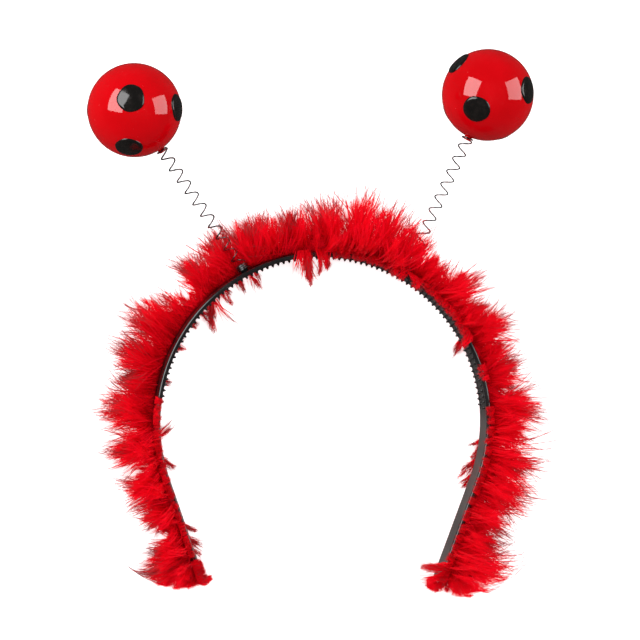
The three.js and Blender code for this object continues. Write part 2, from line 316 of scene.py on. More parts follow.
# The matted down under the plumes
def redDownLook(wire):
    clump = wire.noise(160, 3).step(0.25, 0.75)
    fibre = wire.noise(1600, 3)
    return wire.node("ShaderNodeBsdfPrincipled", {}, {
        "Base Color": clump.between((0.42, 0.0004, 0.005), (0.58, 0.001, 0.009)),
        "Roughness": 0.8 + 0.15 * fibre,
        "Specular IOR Level": 0.05,
        "Normal": (clump + 0.6 * fibre).bump(0.8, 0.8),
    })


blackPlastic = newMaterial("blackPlastic", blackPlasticLook)
springSteel = newMaterial("springSteel", springSteelLook)
redPlastic = newMaterial("redPlastic", redPlasticLook)
blackPaint = newMaterial("blackPaint", blackPaintLook)
redFeather = newMaterial("redFeather", redFeatherLook)
redDown = newMaterial("redDown", redDownLook)
print("materials made")

teeth = {
    "pitch": 2.25,
    "side": 1.25,
    "height": 1.1,
    "root": 0.3,
    "rowOffset": 3.4,
    "toothedTurn": 84,  # degrees
    "squareness": 5,  # the root's superellipse power, which falls to a circle's 2
    "taper": (1.5, 0.62),
    "tipHalf": 0.05,
    "rings": 6,
    "around": 16,
}
toothedEnd = np.radians(teeth["toothedTurn"]) * band["innerRadius"]


# The band: a rectangle with round edges carried along the arch and the legs, drawn in to a round tip. Its
# inner face is marked as satin with a painted grey sheen, most of all past the teeth
def makeBand():
    half = np.array([band["thickness"], band["depth"]]) / 2
    radius = band["edgeRadius"]
    turn = np.linspace(0, np.pi / 2, band["edgeSteps"]) + np.arange(4)[:, None] * np.pi / 2
    signs = np.array([[1, 1], [-1, 1], [-1, -1], [1, -1]])
    corners = signs[:, None] * (half - radius) + radius * np.stack([np.cos(turn), np.sin(turn)], -1)
    following = np.roll(corners, -1, axis=0)[:, :1]
    share = np.linspace(0, 1, band["faceSteps"] + 2)[1:-1, None]
    flats = corners[:, -1:] + (following - corners[:, -1:]) * share
    profile = np.concatenate([corners, flats], 1).reshape(-1, 2)
    leg = arcEnd + band["legLength"] * (1 - np.linspace(1, 0, band["legRings"]) ** 2)[1:]
    station = np.concatenate([-leg[::-1], np.linspace(-arcEnd, arcEnd, band["arcRings"]), leg])
    left = np.clip((legEnd - np.abs(station)) / band["tipRadius"], 0, 1)
    narrow = 1 - band["tipRadius"] / half[1] * (1 - np.sqrt(1 - (1 - left) ** 2))
    foot, out = bandPlace(station)[:2]
    across = half[0] + profile[None, :, 0] * np.ones_like(station)[:, None]
    height = band["height"] + profile[None, :, 1] * narrow[:, None]
    points = foot[:, None] + out[:, None] * across[..., None] + up * height[..., None]
    piece = newPiece("band_shell", *closedTubes(points[None]), blackPlastic)
    # How much satin and painted sheen the inner face has along the band
    plain = np.clip((np.abs(station) - toothedEnd) / band["satinSheenRamp"], 0, 1)
    paintedSheen = band["satinSheenLeast"] + (1 - band["satinSheenLeast"]) * plain
    innerFace = profile[:, 0] < 0.02 - half[0]  # with a little room for rounding
    satin = np.outer(paintedSheen, innerFace)
    layer = piece.data.attributes.new("satin", "FLOAT", "POINT")
    layer.data.foreach_set("value", np.append(satin, [0, 0]).astype(np.float32))
    return piece


# Teeth: each section is a superellipse that goes from a square at the root to a round, blunt tip
def makeTeeth():
    each = int(toothedEnd / teeth["pitch"])
    count = np.arange(-each, each + 1)
    row = np.repeat([-1.0, 1.0], len(count))
    station = (np.tile(count, 2) + row / 4) * teeth["pitch"]
    rise = np.linspace(0, 1, teeth["rings"])
    turn = fullTurn(teeth["around"])
    power = 2 / (teeth["squareness"] - (teeth["squareness"] - 2) * rise[:, None])
    early, late = teeth["taper"]
    wide = teeth["side"] / 2 * (1 - rise[:, None] ** early) ** late + teeth["tipHalf"]
    first = wide * np.sign(np.cos(turn)) * np.abs(np.cos(turn)) ** power
    second = wide * np.sign(np.sin(turn)) * np.abs(np.sin(turn)) ** power
    inward = -teeth["root"] + (teeth["height"] + teeth["root"]) * rise
    foot, out, clockwise = bandPlace(station)
    foot = foot + up * (band["height"] + row * teeth["rowOffset"])[:, None]
    points = (
        foot[:, None, None]
        + clockwise[:, None, None] * first[None, :, :, None]
        + up * second[None, :, :, None]
        - out[:, None, None] * inward[None, :, None, None]
    )
    return newPiece("band_teeth", *closedTubes(points), blackPlastic)


antenna = {
    "postTurn": 28.6,  # degrees from the crest
    "length": {"left": 76, "right": 77.5},  # from the band's outer face to the middle of the ball
    "lean": {"left": 36.6, "right": 23.2},
    "ballRadius": 18,
    "postRadius": 1.5,
    "postLength": 3.4,
    "postRoot": 1,
    "postEdge": 0.4,
    "postEdgeSteps": 6,
    "stubLength": 1.4,
    "around": 40,
}


# Where an antenna leaves the band, and the direction from there to the middle of its ball
def antennaLine(side):
    sign = -1 if side == "left" else 1
    station = np.array(sign * np.radians(antenna["postTurn"]) * band["innerRadius"])
    foot, out = bandPlace(station)[:2]
    base = foot + out * band["thickness"] + up * band["height"]
    climb = antenna["ballRadius"] - band["height"]
    level = np.sqrt(antenna["length"][side] ** 2 - climb ** 2)
    lean = np.radians(antenna["lean"][side])
    way = np.array([sign * np.sin(lean) * level, np.cos(lean) * level, climb])
    return base, way / antenna["length"][side]


# Posts: cylinders with a rounded top edge
def makePosts():
    turn = np.linspace(0, np.pi / 2, antenna["postEdgeSteps"])
    edge, radius = antenna["postEdge"], antenna["postRadius"]
    heights = np.concatenate([[-antenna["postRoot"]], antenna["postLength"] - edge + edge * np.sin(turn)])
    radii = np.concatenate([[radius], radius - edge + edge * np.cos(turn)])
    grids = [lathe(heights, radii, *antennaLine(side), antenna["around"]) for side in antenna["lean"]]
    return newPiece("spring_posts", *closedTubes(np.stack(grids)), blackPlastic)


for piece in (makeBand(), makeTeeth(), makePosts()):
    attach(piece, "band")
    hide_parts("headband")
print("band made")

coil = {
    "wireRadius": 0.3,
    "radius": 2.1,
    "closePitch": 0.75,
    "closeTurns": 3,
    "openTurns": 10,
    "endTurns": 1,
    "seat": 0.9,
    "stepsPerTurn": 56,
    "around": 12,
    "bendFrom": 12,  # along the spring, two places that makeCoil works out but does not use
    "bendTo": 56,
}


# A coil: a circle carried along a helix whose pitch is small over the post and over the ball's stub.
# The circle stands on the coil's radius and on the direction square to it and to the wire
def makeCoil(side):
    turns = coil["closeTurns"] + coil["openTurns"] + coil["endTurns"]
    along = np.linspace(0, turns, turns * coil["stepsPerTurn"] + 1)
    face = antenna["length"][side] - antenna["ballRadius"]
    last = face - coil["seat"] / 2 - coil["endTurns"] * coil["closePitch"]
    openPitch = (last - coil["seat"] - coil["closeTurns"] * coil["closePitch"]) / coil["openTurns"]
    opened = np.clip(along - coil["closeTurns"], 0, coil["openTurns"])
    height = coil["seat"] + coil["closePitch"] * (along - opened) + openPitch * opened
    angle = 2 * np.pi * along
    radial = np.stack([np.cos(angle), np.sin(angle), 0 * angle], -1)
    middle = coil["radius"] * radial + up * height[:, None]
    ahead = np.gradient(middle, axis=0)
    ahead /= np.linalg.norm(ahead, axis=1)[:, None]
    square = np.cross(ahead, radial)
    turn = fullTurn(coil["around"])[None, :, None]
    circle = np.cos(turn) * radial[:, None] + np.sin(turn) * square[:, None]
    wire = middle[:, None] + coil["wireRadius"] * circle
    base, axis = antennaLine(side)
    piece = newPiece(f"coil_{side}", *closedTubes(stoodUp(wire, base, axis)[None]), springSteel)
    start, end = [(base + axis * coil[key]) * mm + archCentre for key in ("bendFrom", "bendTo")]
    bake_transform(piece)
    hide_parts(f"spring_{side}")


globe = {
    "stubRadius": 1.5,
    "stubEdge": 0.3,
    "stubSteps": 5,
    "fillet": 0.5,
    "filletShare": 0.7,  # of the fillet's width, drawn before the ball's circle takes over
    "neckBelow": 0.25,
    "neckHeight": 0.4,
    "neckSteps": 3,
    "poleGap": 0.004,  # radians that the closing fan covers
    "rings": 72,
    "around": 128,
}


# A ball and its stub in one turned profile: a fillet, a circle up to the pole, and the stub's round end
def makeGlobe(side):
    base, axis = antennaLine(side)
    radius, stub = antenna["ballRadius"], globe["stubRadius"]
    first = np.arcsin((stub + globe["fillet"]) / radius)
    turn = np.linspace(first, np.pi - globe["poleGap"], globe["rings"])
    face = antenna["length"][side] - radius
    heights = face + radius - radius * np.cos(turn)
    radii = radius * np.sin(turn)
    bend, edge = np.linspace(0, np.pi / 2, globe["stubSteps"]), globe["stubEdge"]
    endHeights = face - antenna["stubLength"] + edge * (1 - np.sin(bend))
    endRadii = stub - edge + edge * np.cos(bend)
    neckHeights = face - globe["neckBelow"] + globe["neckHeight"] * np.linspace(0, 1, globe["neckSteps"])
    neckRadii = stub + globe["fillet"] * np.linspace(0, globe["filletShare"], globe["neckSteps"]) ** 2
    heights = np.concatenate([endHeights[::-1], neckHeights, heights])
    radii = np.concatenate([endRadii[::-1], neckRadii, radii])
    points = lathe(heights, radii, base, axis, globe["around"])
    piece = newPiece(f"globe_{side}", *closedTubes(points[None]), redPlastic)
    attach(piece, f"antenna_{side}")
    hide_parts(f"ball_{side}")


dots = {
    "radius": 5.6,
    "lift": 0.4,  # how far the paint stands on the ball
    "rim": 0.06,  # how far it is thicker towards its edge
    "rimAt": 0.8,  # shares of the radius
    "rimWidth": 0.12,
    "edgeAt": 0.78,
    "edgeWidth": 0.22,
    "sunk": 0.25,
    "wobble": 0.045,
    "waves": (2, 3, 5),
    "waveSizes": (0.4, 1),
    "waveParts": (1, 1.4, 2.4),  # what the size of each wave is divided by
    "poleGap": 0.02,
    "rings": 14,
    "around": 72,
    "seed": 21,
    # turn round the ball from +X and rise above the level of its middle, in degrees
    "left": [(137, 75), (3, 28), (-101, 30), (180, -30), (75, -20), (-40, -35)],
    "right": [(-139, 53), (6, 41), (137, 8), (60, -25), (-60, -22), (-155, -38)],
}


# A dot of thick paint: a cap on the ball whose outline is a circle with three small waves, a little thicker
# near its edge, which then rounds off and goes down into the ball
def makeDot(side, index, rng):
    turn, rise = np.radians(dots[side][index])
    axis = np.array([np.cos(rise) * np.cos(turn), np.cos(rise) * np.sin(turn), np.sin(rise)])
    base, way = antennaLine(side)
    centre = base + way * antenna["length"][side]
    angle = fullTurn(dots["around"])
    waves = np.array(dots["waves"])
    phase = rng.uniform(0, 2 * np.pi, len(waves))
    size = rng.uniform(*dots["waveSizes"], len(waves)) / np.array(dots["waveParts"])
    outline = 1 + dots["wobble"] * (size * np.sin(waves * angle[:, None] + phase)).sum(1)
    share = np.linspace(dots["poleGap"], 1, dots["rings"])[:, None]
    edge = np.clip((share - dots["edgeAt"]) / dots["edgeWidth"], 0, 1)
    swell = dots["rim"] * np.exp(-(((share - dots["rimAt"]) / dots["rimWidth"]) ** 2))
    thick = dots["lift"] * np.sqrt(1 - edge ** 2) + swell * (1 - edge)
    radius = antenna["ballRadius"] + thick - dots["sunk"] * edge ** 4
    tilt = share * outline * dots["radius"] / antenna["ballRadius"]
    local = np.stack([
        radius * np.sin(tilt) * np.cos(angle),
        radius * np.sin(tilt) * np.sin(angle),
        radius * np.cos(tilt),
    ], -1)
    points = stoodUp(local, centre, axis)
    piece = newPiece(f"dot_{side}_{index + 1}", *closedTubes(points[None]), blackPaint)
    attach(piece, f"antenna_{side}")
    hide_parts(f"spot_{side}_{index + 1}")


dotRandom = np.random.default_rng(dots["seed"])
for side in antenna["lean"]:
    makeCoil(side)
    makeGlobe(side)
    for index in range(len(dots[side])):
        makeDot(side, index, dotRandom)
print("antennae made")

trim = {
    "seed": 5,
    "tuftSpread": 2.6,  # along the band
    "gather": 0.85,  # how much a tuft's plumes turn to its tip
    "fillStep": 1.1,
    "fillStray": 1,
    "fillShare": 0.92,
    "valley": 0.6,  # reach between tufts, as a share of theirs
    "lowest": -70,  # degrees below straight out
    "crowding": 0.1,  # how much closer the plumes stand near straight out
    "rootDown": -5.5,
    "rootOut": (0.3, 2.2),
    "endRoom": 4,  # from the tips of the legs to the last roots
    # roots at the tips: how far past the leg's end, or before it, and how far out in either case
    "tipRoots": [(0.2, 1.4), (1.5, 10), (-2, 1.5), (0, 6)],
    "tipUp": (-4, 4.5),
    "tipCurl": (0.2, 0.7),  # radians that the plumes beside the leg turn round its tip
    "tipEnds": [(-56, -64.5), (54, -68)],  # the lowest point of the trim on the left and on the right
    "tipRound": 0.02,
    "wispStart": 3,  # from a wisp's root to the band's inner face
    "springRoom": 3.3,
    # way round from the crest, reach from the band's outer face, degrees of lean clockwise
    "tufts": [
        (-156, 19, -4), (-150.5, 14.5, 0), (-137, 13, 4), (-126, 16.5, 4), (-111, 18, -2), (-98, 20, 4),
        (-88, 13.5, -4), (-80, 19, -4), (-69, 20, 6), (-45.5, 18.5, -10), (-36, 18.5, -4), (-28, 18, 4),
        (-20, 17, -4), (-12, 16, 4), (1, 19.5, -4), (10.5, 24, 2), (20, 22, -4), (29, 19, 6),
        (39, 13, 0), (51, 17.5, 2), (61, 14, -4), (67.5, 19, 0), (76, 13.5, 0), (84, 15.5, -4),
        (95, 21.5, 4), (104, 16, -6), (115, 22, 4), (125, 22, -4), (136, 17.5, 6), (146, 17, 4),
        (156, 24.5, -6),
    ],
    # partings: way round, half their width, and the share of the reach that is left there
    "partings": [
        (-143.5, 4.5, 0.65), (-118.5, 3, 0.7), (-52.5, 4, 0.2), (-41.5, 2, 0.8), (56.5, 3, 0.7),
        (73, 3, 0.65), (120, 2.5, 0.75),
    ],
    # way round, the steepest plume in degrees, and how high its root is above the band's middle
    "cover": [
        (-164, 118, 5), (-161, 112, 4.5), (-157, 84, 3), (-148, 102, 3.5), (-140, 104, 3.8), (-126, 106, 4),
        (-120, 110, 4), (-107, 112, 4), (-100, 60, 0.5), (-88, 45, -2.5), (-72, 42, -4), (-37, 42, -4),
        (-31, 58, -1), (-22, 75, 2), (-10, 85, 3), (-3, 112, 4), (27, 116, 4), (30.5, 70, 0.5),
        (34, 70, 0.5), (37.5, 112, 4), (48, 112, 4.2), (62, 110, 4.2), (68, 82, 2.5), (77, 75, 2),
        (80, 62, 1), (88, 62, 1), (96, 104, 4), (110, 106, 4), (125, 106, 4), (140, 106, 4),
        (148, 110, 4.5), (156, 115, 5), (164, 118, 5),
    ],
    # plumes round the tips of the legs: degrees outwards from the leg's direction, and reach
    "leftTip": [
        (-70, 4), (-45, 4), (-20, 3.5), (5, 4), (18, 4.5),
        (32, 5), (46, 6), (60, 7.5), (72, 10), (86, 14),
    ],
    "rightTip": [
        (-70, 5), (-45, 5), (-20, 5), (8, 6), (20, 7), (32, 8), (46, 10), (62, 14), (80, 20),
    ],
    "pieces": ["left_leg", "left_side", "left_crown", "right_crown", "right_side", "right_leg"],
    "cuts": [-118, -58, 0, 50, 104],
}
# Wisps that pass inwards, under the band or over its front edge
passing = {
    "under": {
        "rise": (-12, 4),
        "root": (1.6, 2.8),
        "held": {"out": 1.2, "ceiling": 2.9},
        # way round, reach past the band, degrees of lean, number of feathered plumes
        "rows": [
            (-150, 8, 50, 1), (-146, 10, 50, 2), (-141, 10, 45, 2), (-113, 11, 42, 2), (-110, 10, -28, 1),
            (-86, 5, 0, 1), (-73, 6, -20, 2), (-60, 5, 10, 1), (-55, 8, 2, 1), (-47, 15, 32, 5),
            (-42, 9, 4, 2), (-34.5, 8.5, 2, 1), (-29, 9.5, -5, 1), (67, 7, -37, 2), (108, 6, -10, 0),
            (109, 10, -58, 2), (114, 10, -55, 2), (120, 8, -60, 1),
        ],
    },
    "over": {
        "rise": (30, 65),
        "root": (14.8, 15.6),
        "held": {"out": 1.2, "bend": 1.7, "floor": 15.8},
        "rows": [
            (-11, 8, 32, 0), (-9, 13.5, 0, 8), (-4, 9, 4, 2), (-1, 7, -4, 2), (2, 2, 0, 2), (5, 0, 0, 2),
            (8, 1, 0, 2), (11, 1, 0, 2), (14, 0.5, 0, 2), (17, 1, 0, 2), (20, 0.5, 0, 2), (23, 1, 0, 2),
            (26, 3, 0, 1), (30, 3.5, 0, 1), (32, 9, -48, 0), (36, 3, -10, 1), (66, 7, -35, 0),
            (-164, 2, 0, 5), (-162, 2, 0, 5), (-160, 1.8, 0, 5), (-158, 1.5, 0, 5), (-161, 1.5, 0, 4),
            (-159.5, 1, 0, 3), (152, 0, 0, 2), (156, 1, 0, 3), (158.5, 12, -10, 0), (159.5, 13, -16, 2),
            (160.5, 14, -20, 1), (162, 11, -26, 0), (163, 3, -25, 4), (41, 0, 0, 2), (44, 0, 0, 2),
            (47, 0.3, 0, 2), (50, 0.3, 0, 2), (53, 0.5, 0, 2), (56, 0.5, 0, 2), (59, 0.5, -8, 2),
            (62, 1.5, -15, 2), (64.5, 2.5, -20, 2), (80, 1, 0, 1), (82, 1, 0, 1),
            # short ones close together, which hide the front edge of the legs
            *[(station, 0.4 + 0.4 * np.sin(station), 0, 2) for station in range(96, 152, 4)],
            *[(station, 0.2 + 0.5 * np.sin(station), 0, 2) for station in range(-121, -93, 3)],
            *[(station, 0.6 * np.sin(station) - 0.5, 0, 2) for station in range(-154, -122, 3)],
        ],
    },
}
# Feathered plumes: their numbers, degrees of stray lean in a tuft and beside it, lengths as shares of the
# reach, and looks. A pair is a range, or for a shade its middle and its spread
plume = {
    "perTuft": 16, "perTip": 7, "barbules": 9,
    "lean": 5, "looseLean": 15, "length": (0.86, 1.16), "curl": 0.3, "point": 0.4, "dark": (0.42, 0.6),
    # Painted light and shade: the uppermost plumes are lighter, and slow folds are lighter and darker
    "shade": 0.42, "paintedTopLight": 0.27, "foldShade": 0.13, "folds": (5.3, 8.9), "shadeStray": 0.06,
    "tipRise": (-50, 62), "tipLean": 9, "tipLength": (0.8, 1.02), "tipShade": (0.5, 0.1),
    # Painted shade: the wisps that pass under or over the band get a low shade, so they are darker
    "wispAside": 1.3, "wispLean": 3, "wispLength": (0.85, 1.15), "wispShade": (0.18, 0.08),
    "wisp": {"splay": 0.35, "dark": 1.0, "barbs": 36, "point": 0.5},
}
# Locks of single strands, with their gathering as a share and the stray of their strands in degrees
lock = {
    "perTuft": 15, "loose": 200, "perTip": 3, "perWisp": 2, "strands": 14, "barbules": 4,
    "width": 1.5, "gather": 0.95, "stray": 3.5, "curl": 0.4, "curlStray": 0.08,
    "lean": 13, "looseLean": 26, "length": (1.05, 1.5),
    "strandLength": (0.7, 1.06), "strandCurl": 0.35, "strandWidth": (0.24, 0.52), "strandShade": (0.4, 0.2),
    "strandDark": 0.48, "outerDark": 0.5,
    "tipRise": (-45, 58), "tipLean": 14, "tipLength": (0.7, 1.1),
    "wispAside": 0.8, "wispLean": 8, "wispLength": (0.6, 1.2), "wispWidth": 0.6,
}
# What a plume has where its own set gives nothing else
usualPlume = {
    "out": 0.6,  # from the band's outer face to its root
    "bend": 0.75,  # share of its rise that is lost towards its tip
    "curl": 0.0,  # radians that its lean turns by
    "shaft": 0.74,  # share of its length that carries barbs
    "barbs": 38,
    "splay": 0.55,  # radians that its barbs spread sideways
    "lift": 0.3,
    "width": 0.2,
    "shortest": 0.4,  # barb, as a share of what is left of the plume
    "point": 0.0,  # how much shorter the barbs are that spread most
    "dark": 0.46,  # how far its barbs go towards the dark tip's colour
    "shade": 0.5,
    "floor": 0.35,  # the heights that it stays between
    "ceiling": 60.0,
}
barb = {
    "segments": 4, "shaftSteps": 4,
    "startPower": 0.9,  # below 1, more barbs start near the plume's tip
    "leastSpread": 0.05, "longest": 1.05, "taper": 0.85, "wave": 0.12, "tipSoftness": 1.0,
    "closing": 0.65,  # share of a barb's spread that is lost towards its tip
    "shadeStray": 0.06,
    "edgeShade": 0.006,  # keeps the map of a ribbon or a barbule from being a line
}
# The first one's place on its barb and the length that carries them are shares of the barb
barbule = {
    "first": 0.08, "spread": 0.74, "angle": (0.4, 1.05), "floor": 0.05,
    "length": (1.3, 3.0), "width": 0.09, "taper": 0.65,
}
tuftRows = np.array(trim["tufts"], float)
coverRows = np.array(trim["cover"], float)
lastRoot = legEnd - trim["endRoom"]


# Reach of the trim: each tuft's own, and a share of its neighbours' mean half way between two tufts
def reachAt(station):
    place, reach = tuftRows[:, 0], tuftRows[:, 1]
    places = np.concatenate([place, (place[1:] + place[:-1]) / 2])
    values = np.concatenate([reach, trim["valley"] * (reach[1:] + reach[:-1]) / 2])
    order = np.argsort(places)
    return np.interp(station, places[order], values[order]) * partingAt(station)


# Share of the reach that the partings leave: one less a bell curve for each
def partingAt(station):
    middle, half, left = np.array(trim["partings"]).T[..., None]
    return np.prod(1 - (1 - left) * np.exp(-(((station - middle) / half) ** 2)), 0)


# The steepest rise and the highest root, in straight lines between the rows of the cover
def coverAt(station):
    return [np.interp(station, coverRows[:, 0], coverRows[:, column]) for column in (1, 2)]


# A set of plumes as arrays. Its places are the ways round, the rise above straight out and the lean clockwise
# from it, both in degrees, the lengths, and the heights of the roots
def plumeSet(places, **other):
    made = dict(zip(("station", "rise", "lean", "length", "up"), places))
    for key, value in {**usualPlume, **other}.items():
        made[key] = np.broadcast_to(value, len(places[0])).astype(float)
    return made


# Single strands instead of feathered plumes: one long barb each, wider at the root and dark at the tip,
# darkest where they stand straight out
def strandSet(places, rng, **other):
    count = len(places[0])
    outwards = np.clip(1.35 - np.abs(places[1]) / 45, 0, 1)  # full up to 16 degrees of rise, none past 61
    own = {
        "curl": rng.normal(0, lock["strandCurl"], count),
        "width": rng.uniform(*lock["strandWidth"], count),
        "dark": lock["strandDark"] + lock["outerDark"] * outwards,
        "shade": rng.normal(*lock["strandShade"], count),
        "out": rng.uniform(*trim["rootOut"], count),
        "barbs": 1, "shaft": 0, "splay": 0.03, "lift": 0.02, "shortest": 0.95,
    }
    return plumeSet(places, **{**own, **other})


# Locks: each strand starts beside its lock's root and turns towards the lock's tip, by a share of the angle
# that it stands off, along the band and in height. The strands of a lock share their curl
def lockSet(places, width, rng, **other):
    curl = rng.normal(0, lock["curl"], len(places[0]))
    station, rise, lean, length, upRoot, curl = np.repeat([*places, curl], lock["strands"], axis=1)
    count = len(station)
    aside, above = rng.normal(0, width, (2, count))
    across = aside * np.cos(np.radians(lean))
    turn, tilt = -lock["gather"] * np.degrees(np.arctan(np.stack([across, above]) / length))
    stray = rng.normal(0, lock["stray"], (2, count))
    length = length * rng.uniform(*lock["strandLength"], count)
    places = [station + aside, rise + tilt + stray[0], lean + turn + stray[1], length, upRoot + above]
    return strandSet(places, rng, curl=curl + rng.normal(0, lock["curlStray"], count), **other)


# Rise and root height of plumes that stand out of the band: they are spread from the lowest up to the
# steepest that covers the band there, most of them near straight out. The share says how high each is
def stand(station, rng):
    steepest, top = coverAt(station)
    share = rng.permutation(np.linspace(0, 1, len(station)))
    share = share + trim["crowding"] * np.sin(2 * np.pi * share)
    rise = trim["lowest"] + (steepest - trim["lowest"]) * share
    upRoot = band["height"] + trim["rootDown"] + (top - trim["rootDown"]) * share
    return rise, upRoot, share


# The tufts' rows, repeated for each plume or lock, how far it stands beside its tuft's middle, and its reach
def tuftPlaces(kind, rng):
    rows = np.repeat(tuftRows, kind["perTuft"], axis=0)
    aside = rng.normal(0, trim["tuftSpread"], len(rows))
    return rows, aside, rows[:, 1] * partingAt(rows[:, 0] + aside)


# Lean of what stands in the tufts and then of what stands loose: a tuft's own lean, less a share of the
# angle by which each stands beside its middle, and any lean about straight out
def leans(rows, aside, looseCount, kind, rng):
    turned = rows[:, 2] - trim["gather"] * np.degrees(np.arctan(aside / rows[:, 1]))
    return np.concatenate([
        turned + rng.normal(0, kind["lean"], len(rows)),
        rng.normal(0, kind["looseLean"], looseCount),
    ])


# What stands round the tip of a leg: way round, rise, lean, length and root height of each, then how far out
# its root is and if it turns outwards. Those that turn inwards have their roots past the leg's end
def tipPlaces(sign, kind, rng):
    tips = np.array(trim["leftTip" if sign < 0 else "rightTip"], float)
    turn, reach = np.repeat(tips, kind["perTip"], axis=0).T
    count = len(turn)
    past, before, pastOut, beforeOut = [rng.uniform(*limits, count) for limits in trim["tipRoots"]]
    places = [
        sign * (legEnd + np.where(turn < 0, past, -before)),
        rng.uniform(*kind["tipRise"], count),
        sign * (90 - turn + rng.normal(0, kind["tipLean"], count)),
        reach * rng.uniform(*kind["tipLength"], count),
        band["height"] + rng.uniform(*trim["tipUp"], count),
    ]
    return places, np.where(turn < 0, pastOut, beforeOut), turn > 0


# The feathered plumes: in the tufts and evenly between them, round both tips, and in the wisps. Their shade
# holds painted light and shade: the higher plumes are lighter, and two slow waves along the band make painted
# folds of light and shade
def massPlumes(rng):
    rows, aside, reach = tuftPlaces(plume, rng)
    fill = np.arange(-lastRoot, lastRoot, trim["fillStep"])
    fillPlace = fill + rng.uniform(-trim["fillStray"], trim["fillStray"], len(fill))
    station = np.clip(np.concatenate([rows[:, 0] + aside, fillPlace]), -lastRoot, lastRoot)
    lean = leans(rows, aside, len(fill), plume, rng)
    length = np.concatenate([reach, trim["fillShare"] * reachAt(fill)])
    rise, upRoot, share = stand(station, rng)
    count = len(station)
    # Painted light and shade: slow folds, and lighter plumes higher up
    paintedFolds = plume["foldShade"] * np.sin(station / plume["folds"][0]) * np.cos(station / plume["folds"][1] + 1)
    shade = plume["shade"] + plume["paintedTopLight"] * share + paintedFolds
    sets = [plumeSet(
        [station, rise, lean, length * rng.uniform(*plume["length"], count), upRoot],
        out=rng.uniform(*trim["rootOut"], count),
        curl=rng.normal(0, plume["curl"], count),
        shade=shade + rng.normal(0, plume["shadeStray"], count),
        dark=rng.uniform(*plume["dark"], count),
        point=plume["point"],
    )]
    for sign in (-1, 1):
        places, out, outwards = tipPlaces(sign, plume, rng)
        curl = sign * rng.uniform(*trim["tipCurl"], len(out)) * outwards
        shade = rng.normal(*plume["tipShade"], len(out))
        sets.append(plumeSet(places, out=out, curl=curl, shade=shade))
    for wisps in passing.values():
        rows = np.array(wisps["rows"], float)
        place, reach, lean = np.repeat(rows, rows[:, 3].astype(int), axis=0)[:, :3].T
        count = len(place)
        aside = rng.normal(0, plume["wispAside"], count)
        length = trim["wispStart"] + reach * rng.uniform(*plume["wispLength"], count)
        lean = 180 + lean + np.degrees(np.arctan(aside / length))
        places = [
            place + aside,
            rng.uniform(*wisps["rise"], count),
            lean + rng.normal(0, plume["wispLean"], count),
            length,
            rng.uniform(*wisps["root"], count),
        ]
        # Painted shade: the wisps are darker
        shade = rng.normal(*plume["wispShade"], count)
        sets.append(plumeSet(places, shade=shade, **plume["wisp"], **wisps["held"]))
    return joined(sets)


# The locks of strands: in the tufts and loose between them, round both tips, and in the wisps
def strandPlumes(rng):
    rows, aside, reach = tuftPlaces(lock, rng)
    loose = rng.uniform(-lastRoot, lastRoot, lock["loose"])
    station = np.clip(np.concatenate([rows[:, 0] + aside, loose]), -lastRoot, lastRoot)
    lean = leans(rows, aside, len(loose), lock, rng)
    length = np.concatenate([reach, reachAt(loose)]) * rng.uniform(*lock["length"], len(station))
    rise, upRoot = stand(station, rng)[:2]
    sets = [lockSet([station, rise, lean, length, upRoot], lock["width"], rng)]
    for sign in (-1, 1):
        places, out = tipPlaces(sign, lock, rng)[:2]
        sets.append(lockSet(places, lock["width"], rng, out=np.repeat(out, lock["strands"])))
    for wisps in passing.values():
        rows = np.repeat(np.array(wisps["rows"], float), lock["perWisp"], axis=0)
        count = len(rows)
        places = [
            rows[:, 0] + rng.normal(0, lock["wispAside"], count),
            rng.uniform(*wisps["rise"], count),
            180 + rows[:, 2] + rng.normal(0, lock["wispLean"], count),
            trim["wispStart"] + rows[:, 1] * rng.uniform(*lock["wispLength"], count),
            rng.uniform(*wisps["root"], count),
        ]
        sets.append(lockSet(places, lock["wispWidth"], rng, **wisps["held"]))
    return joined(sets)


# Sets of arrays under the same keys, each key's arrays put end to end
def joined(sets):
    return {key: np.concatenate([each[key] for each in sets]) for key in sets[0]}


